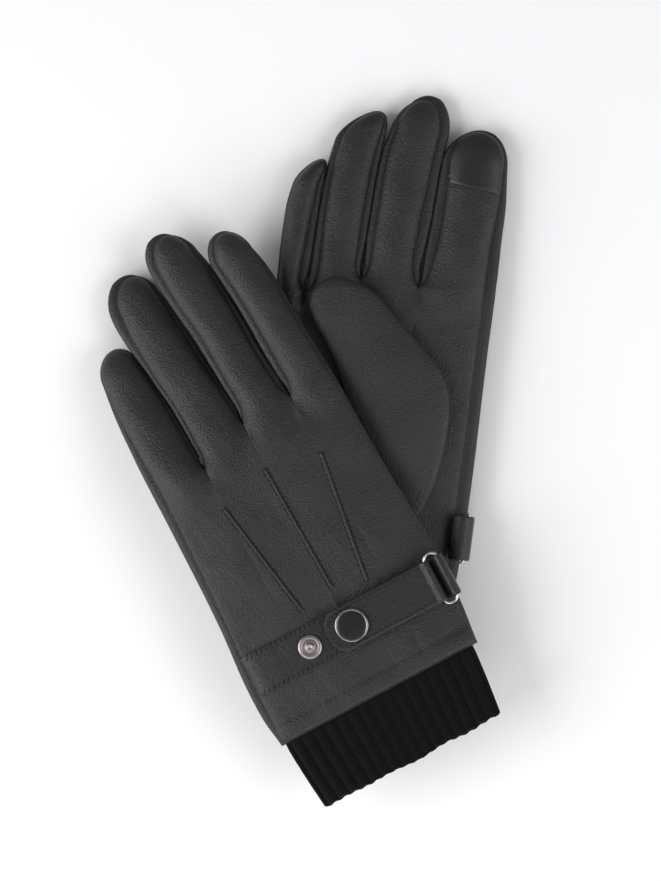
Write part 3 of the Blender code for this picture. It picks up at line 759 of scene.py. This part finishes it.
def ribbon(glove, name, path, half_width, thick, finish):
    """A strip swept along its path in the (across, height) plane.

    The section is a flat oval with rolled edges; the half width may change
    along the path, as at a rounded end.
    """
    path = np.array(path, float)
    step = np.gradient(path, axis=0)
    step /= np.hypot(*step.T)[:, None]
    out_b, out_h = -step[:, 1:], step[:, :1]
    angle = np.linspace(0, 2 * math.pi, SECTION_POINTS, endpoint=False)
    cos, sin = np.cos(angle), np.sin(angle)
    half = np.broadcast_to(half_width, (len(path),))[:, None]
    wide = np.sign(cos) * np.abs(cos) ** 0.35 * half
    tall = np.sign(sin) * np.abs(sin) ** 0.45 * thick / 2 * np.clip(half / 2.5, 0.25, 1)
    near = np.clip((half - np.abs(wide)) / 2.2, 0, 1)
    tall = tall * (1 + 0.16 * np.sin(math.pi * near))
    b = path[:, :1] + out_b * tall
    h = path[:, 1:] + out_h * tall
    piece = mesh_piece(name, glove.world(BAND_MID + wide, b, glove.up * h),
                       grid_faces(len(path), SECTION_POINTS, closed=True), finish)
    close_up(piece)
    return piece


def arc(centre, radius, start, end, count=10):
    """Points of a circle's arc, in degrees."""
    angle = np.radians(np.linspace(start, end, count))
    return [(centre[0] + radius * math.cos(t), centre[1] + radius * math.sin(t)) for t in angle]


strap_nappa = leather_finish("strap_nappa", (0.007, 0.007, 0.0075), (0.0155, 0.0155, 0.0163), 0.7, 0.37, 0.02)
for glove in (LEFT, RIGHT):
    side = glove.side
    low = glove.plan["outer"][0][0][1]
    across = np.linspace(low - 0.6, 46.5, 60)
    rest = np.abs(surface(glove, BAND_MID, across, glove.up)) + 0.35
    rest = np.minimum(rest, 6.2) - 3.4 * (1 - ease((across - low + 0.6) / 2.5))
    path = list(zip(across, rest)) + [(48.6, 6.6), (49.8, 7.6)]
    path += arc((OUTER_BAR_AT, BAR_LEVEL), 1.7, 165, -20, 12)
    path += [(54.2, 6.0), (54.3, 2.5), (54.1, -1.5), (53.4, -4.6), (52.0, -6.1), (49.5, -6.5), (44.6, -6.4)]
    band = ribbon(glove, glove.name("sewn_band"), path, BAND_HALF, 1.0, strap_nappa)
    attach(band, f"{side}_glove")
    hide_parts(f"{side}_wrist_band")
    s = np.linspace(0, 1, 16)
    ends = [(-9.0 + 7.5 * (1 - math.cos(t * math.pi / 2)), STRAP_LEVEL) for t in s]
    halves = [max(0.25, BAND_HALF * math.sin(t * math.pi / 2) ** 0.8) for t in s]
    run = [(x, STRAP_LEVEL - 0.1 * math.sin((x + 1.5) / 43 * math.pi))
           for x in np.linspace(-1.2, 43.6, 40)]
    fold = [(44.6, 9.7)] + arc((BAR_AT, BAR_LEVEL), 1.35, 85, -100, 12)
    fold += [(44.2, 7.45), (41, 7.42), (37.5, 7.42)]
    path = ends + run + fold
    halves += [BAND_HALF] * (len(path) - len(halves))
    strap = ribbon(glove, glove.name("strap_leather"), path, halves, 1.35, strap_nappa)
    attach(strap, f"{side}_strap")
    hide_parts(f"{side}_strap")


# ---------------------------------------------------------------- rings and snaps
# Polished wire rings, a dark domed cap with a bright rolled rim, and a bright
# spare stud.
def metal_finish(name, colour, rough, patches):
    """Plated metal with faint handling marks in its shine."""
    material, tree, shader = new_finish(name, {"Metallic": 1.0})
    spot = place_of(tree)
    marks = noise(tree, spot, 420.0, 4.0, 0.7)
    tree.links.new((marks * patches + rough).socket, shader.inputs["Roughness"])
    dark = tuple(0.86 * c for c in colour)
    tree.links.new(blend_colours(tree, marks, dark, colour).socket, shader.inputs["Base Color"])
    return material


nickel = metal_finish("nickel", (0.74, 0.71, 0.69), 0.13, 0.16)
gunmetal = metal_finish("gunmetal", (0.052, 0.052, 0.056), 0.3, 0.2)
rim_metal = metal_finish("rim_metal", (0.30, 0.30, 0.31), 0.2, 0.15)
stud_metal = metal_finish("stud_metal", (0.40, 0.35, 0.345), 0.28, 0.25)


LATHE_AROUND = 64
WIRE_AROUND = 14


def lathe(glove, name, across, profile, finish):
    """Turn a (radius, height) profile about an upright axis on the band's middle."""
    radius, height = np.array(profile, float).T
    angle = np.linspace(0, 2 * math.pi, LATHE_AROUND, endpoint=False)
    a = BAND_MID + radius[:, None] * np.cos(angle)
    b = across + radius[:, None] * np.sin(angle)
    piece = mesh_piece(name, glove.world(a, b, glove.up * height[:, None] + 0 * a),
                       grid_faces(len(profile), LATHE_AROUND, closed=True), finish)
    close_up(piece)
    return piece


def wire_ring(glove, name, finish):
    """A round wire bent into a long ring with rounded corners."""
    wire, corner, half_a, half_b = 0.68, 2.9, 12.3, 3.25
    centre_b = (BAR_AT + OUTER_BAR_AT) / 2
    path = []
    for sa, sb, start in ((1, 1, 0), (1, -1, -90), (-1, -1, -180), (-1, 1, -270)):
        path += [(BAND_MID + sa * (half_a - corner) + corner * math.cos(math.radians(start + t)),
                  centre_b + sb * (half_b - corner) + corner * math.sin(math.radians(start + t)))
                 for t in np.linspace(90, 0, 9)]
    path = np.array(path)
    step = np.roll(path, -1, 0) - np.roll(path, 1, 0)
    step /= np.hypot(*step.T)[:, None]
    angle = np.linspace(0, 2 * math.pi, WIRE_AROUND, endpoint=False)
    a = path[:, :1] - step[:, 1:] * wire * np.cos(angle)
    b = path[:, 1:] + step[:, :1] * wire * np.cos(angle)
    h = BAR_LEVEL + wire * np.sin(angle) + 0 * a
    faces = grid_faces(len(path), WIRE_AROUND, closed=True)
    c = np.arange(WIRE_AROUND)
    after, last = (c + 1) % WIRE_AROUND, (len(path) - 1) * WIRE_AROUND
    seam = np.stack([last + c, last + after, after, c], 1)
    piece = mesh_piece(name, glove.world(a, b, glove.up * h), np.vstack([faces, seam]), finish)
    close_up(piece)
    return piece


CLOSED_AT = 3.1
SPARE_AT = -18.4
for glove in (LEFT, RIGHT):
    side = glove.side
    ring = wire_ring(glove, glove.name("wire_ring"), nickel)
    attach(ring, f"{side}_ring")
    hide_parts(f"{side}_ring")
    cap = lathe(glove, glove.name("cap_dome"), CLOSED_AT,
                [(0, 9.6), (6.6, 9.6), (6.75, 10.9), (6.5, 10.98), (5.2, 11.1), (3.4, 11.2), (1.6, 11.26),
                 (0, 11.28)], gunmetal)
    rim = lathe(glove, glove.name("cap_rim"), CLOSED_AT,
                [(6.4, 9.5), (7.1, 9.45), (7.6, 9.75), (7.8, 10.2), (7.7, 10.7), (7.35, 11.0), (6.95, 11.05),
                 (6.7, 10.9), (6.5, 10.6), (6.4, 9.5)], rim_metal)
    spare = lathe(glove, glove.name("spare_snap"), SPARE_AT,
                  [(0, 7.0), (5.3, 7.0), (5.6, 7.2), (5.55, 7.5), (5.1, 7.85), (4.5, 8.0), (3.9, 7.95),
                   (3.45, 7.6), (3.2, 7.25), (2.5, 7.15), (2.05, 7.3), (1.75, 7.8), (1.7, 8.3), (1.9, 8.8),
                   (1.75, 9.15), (1.3, 9.33), (0.9, 9.3), (0.6, 9.0), (0, 8.95)], stud_metal)
    for piece, body, slot in ((cap, "strap", "gunmetal"), (rim, "strap", "gunmetal"),
                              (spare, "glove", "nickel")):
        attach(piece, f"{side}_{body}")
    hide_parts(f"{side}_snap_cap")
    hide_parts(f"{side}_spare_stud")
    for hidden in ("snap_stud", "snap_socket"):
        shell = bpy.data.objects.get(f"{side}_{hidden}")
        for k in range(len(shell.material_slots)):
            shell.material_slots[k].material = nickel


# ---------------------------------------------------------------- pintucks and stitching
# Three narrow tucks run down each back, sewn on both sides.  Every stitch is
# a short rounded thread, half sunk in the leather.
TUCKS = (((109.4, -23.6), (49.4, -13.6)), ((116.8, 1.5), (52.7, 3.1)), ((111.3, 27.8), (47.7, 18.5)))
TUCK_HALF = 0.85
TUCK_RISE = 0.8
STITCH = 1.9
PITCH = 2.5
THREAD = 0.24


def thread_finish():
    """Waxed polyester thread with a fine twist."""
    material, tree, shader = new_finish("black_thread", {"Specular IOR Level": 0.35})
    twist = noise(tree, place_of(tree), 3200.0, 2.0)
    tree.links.new(blend_colours(tree, twist, (0.004, 0.004, 0.0043), (0.011, 0.011, 0.012)).socket,
                   shader.inputs["Base Color"])
    tree.links.new((twist * 0.2 + 0.5).socket, shader.inputs["Roughness"])
    return material


thread = thread_finish()


def stitch_row(path, up_side, slant=0.0):
    """Stitches along a local path: points and faces of small six-sided capsules."""
    path = np.array(path, float)
    length = np.concatenate([[0], np.cumsum(np.linalg.norm(np.diff(path, axis=0), axis=1))])
    count = max(1, int(length[-1] // PITCH))
    at = (np.arange(count) + 0.5) * length[-1] / count

    def spot(where):
        return np.stack([np.interp(where, length, path[:, k]) for k in range(3)], 1)

    centre, ahead, back = spot(at), spot(at + STITCH / 2), spot(at - STITCH / 2)
    tangent = ahead - back
    tangent /= np.linalg.norm(tangent, axis=1)[:, None] + 1e-9
    up = np.array([0, 0, up_side], float)
    side = np.cross(tangent, up)
    side /= np.linalg.norm(side, axis=1)[:, None] + 1e-9
    tangent = tangent * math.cos(slant) + side * math.sin(slant)
    side = np.cross(tangent, up)
    t = np.array([-1, -0.93, -0.6, 0, 0.6, 0.93, 1]) * STITCH / 2
    r = np.array([0.02, 0.6, 1, 1.08, 1, 0.6, 0.02]) * THREAD
    sag = np.array([-0.3, -0.16, 0, 0.05, 0, -0.16, -0.3])
    angle = np.linspace(0, 2 * math.pi, 6, endpoint=False)
    local = (tangent[:, None, None, :] * t[None, :, None, None]
             + side[:, None, None, :] * (r[:, None] * np.cos(angle))[None, :, :, None]
             + up * (r[:, None] * np.sin(angle) + sag[:, None])[None, :, :, None])
    points = (centre[:, None, None, :] + local).reshape(-1, 3)
    one = grid_faces(len(t), len(angle), closed=True)
    faces = (one[None] + (np.arange(count) * len(t) * len(angle))[:, None, None]).reshape(-1, 4)
    return points, faces


def sew(glove, name, rows, body):
    """Join rows of stitches, each (path, side it faces, slant), into one piece."""
    points, faces, start = [], [], 0
    for row in rows:
        p, f = stitch_row(*row)
        points.append(p)
        faces.append(f + start)
        start += len(p)
    p = np.vstack(points)
    piece = mesh_piece(name, glove.world(p[:, 0], p[:, 1], p[:, 2]), np.vstack(faces), thread)
    close_up(piece)
    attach(piece, body)
    return piece


def on_skin(glove, a, b, face, rise=0.0):
    return np.stack([a, b, surface(glove, a, b, face) + face * rise], 1)


for glove in (LEFT, RIGHT):
    side, up = glove.side, glove.up
    points, faces, rows = [], [], []
    offsets = np.array([-1.5, -1.2, -1.0, -0.78, -0.5, 0, 0.5, 0.78, 1.0, 1.2, 1.5]) * TUCK_HALF
    crown = np.array([-0.35, -0.06, 0.2, 0.62, 0.92, 1.0, 0.92, 0.62, 0.2, -0.06, -0.35]) * TUCK_RISE
    for k, (first, last) in enumerate(TUCKS):
        first, last = np.array(first), np.array(last)
        s = np.linspace(0, 1, 50)
        fade = np.minimum(1, np.minimum(s, 1 - s) / 0.03)[:, None]
        line = first + (last - first) * s[:, None]
        across = np.array([-(last - first)[1], (last - first)[0]]) / np.linalg.norm(last - first)
        a = line[:, :1] + across[0] * offsets
        b = line[:, 1:] + across[1] * offsets
        h = surface(glove, a, b, up) + up * (crown * fade - 0.35 * (1 - fade))
        points.append(glove.world(a, b, h))
        faces.append(grid_faces(len(s), len(offsets), k * a.size))
        for edge in (-1.35, 1.35):
            ta, tb = line[:, 0] + across[0] * edge * TUCK_HALF, line[:, 1] + across[1] * edge * TUCK_HALF
            rows.append((on_skin(glove, ta, tb, up, 0.05), up))
    tucks = mesh_piece(glove.name("pintucks"), np.vstack(points), np.vstack(faces), nappa)
    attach(tucks, f"{side}_glove")
    for face in (1, -1):
        b = np.linspace(glove.plan["cuff"][0] + 1.5, glove.plan["cuff"][4] - 1.5, 80)
        rows.append((on_skin(glove, np.full(80, 8.4), b, face, 0.02), face))
    b = np.linspace(glove.plan["cuff"][0] + 2.5, 47, 80)
    top = np.minimum(np.abs(surface(glove, BAND_MID, b, up)), 5.85) + 0.88
    for off in (-9.2, -8.2, 8.2, 9.2):
        rows.append((np.stack([np.full(80, BAND_MID + off), b, up * (top - 0.05)], 1), up, 0.7))
    sew(glove, glove.name("glove_stitching"), rows, f"{side}_glove")
    t = np.radians(np.linspace(0, 90, 20))
    lead = 8.2 * np.sin(t) ** 0.9
    round_b = -7.3 + 7.2 * (1 - np.cos(t))
    flat_b = np.linspace(0.6, 43, 30)
    edge_a = np.concatenate([lead, np.full(30, 8.35)])
    edge_b = np.concatenate([round_b, flat_b])
    level = np.full(edge_a.shape, up * 9.45)
    strap_rows = [(np.stack([BAND_MID + sign * edge_a, edge_b, level], 1), up) for sign in (1, -1)]
    sew(glove, glove.name("strap_stitching"), strap_rows, f"{side}_strap")


# ---------------------------------------------------------------- floor, light and camera
# A pale table, broad soft light from the upper left, and a camera that looks
# straight down at the pair.
VIEW_AT = (0.0122, 0.0050)
FRAME_HEIGHT = 0.40526      # length of table that the picture shows, in metres
LENS = 200.0
SENSOR = 36.0

bpy.ops.mesh.primitive_plane_add(size=6.0, location=(0, 0, -0.0002))
floor = bpy.context.object
floor.name = "floor"
pale, *_ = new_finish("pale_floor", {
    "Base Color": (0.93, 0.93, 0.935, 1.0), "Roughness": 0.7, "Specular IOR Level": 0.2})
floor.data.materials.append(pale)

world = bpy.data.worlds.new("studio")
bpy.context.scene.world = world
world.use_nodes = True
world.node_tree.nodes["Background"].inputs["Color"].default_value = (0.96, 0.97, 1.0, 1.0)
world.node_tree.nodes["Background"].inputs["Strength"].default_value = 0.29
bpy.context.scene.view_settings.view_transform = "Standard"


def area_light(name, place, aim, size, power):
    light = bpy.data.lights.new(name, "AREA")
    light.shape = "RECTANGLE"
    light.size, light.size_y = size
    light.energy = power
    lamp = bpy.data.objects.new(name, light)
    bpy.context.scene.collection.objects.link(lamp)
    lamp.location = place
    direction = np.array(place) - np.array(aim)
    lamp.rotation_euler = Vector(direction).to_track_quat("Z", "Y").to_euler()


area_light("left", (-1.25, -0.25, 0.85), (0, 0, 0), (1.3, 1.3), 21.5)
area_light("right", (1.25, -0.35, 0.95), (0, 0, 0), (1.3, 1.3), 13.5)
area_light("foot", (-0.1, -1.35, 0.95), (0, 0, 0), (1.4, 1.0), 9.0)

camera_data = bpy.data.cameras.new("camera")
camera_data.lens = LENS
camera_data.sensor_width = SENSOR
camera_data.clip_end = 20
camera = bpy.data.objects.new("camera", camera_data)
bpy.context.scene.collection.objects.link(camera)
camera.location = (*VIEW_AT, FRAME_HEIGHT * LENS / SENSOR + 0.02)
bpy.context.scene.camera = camera
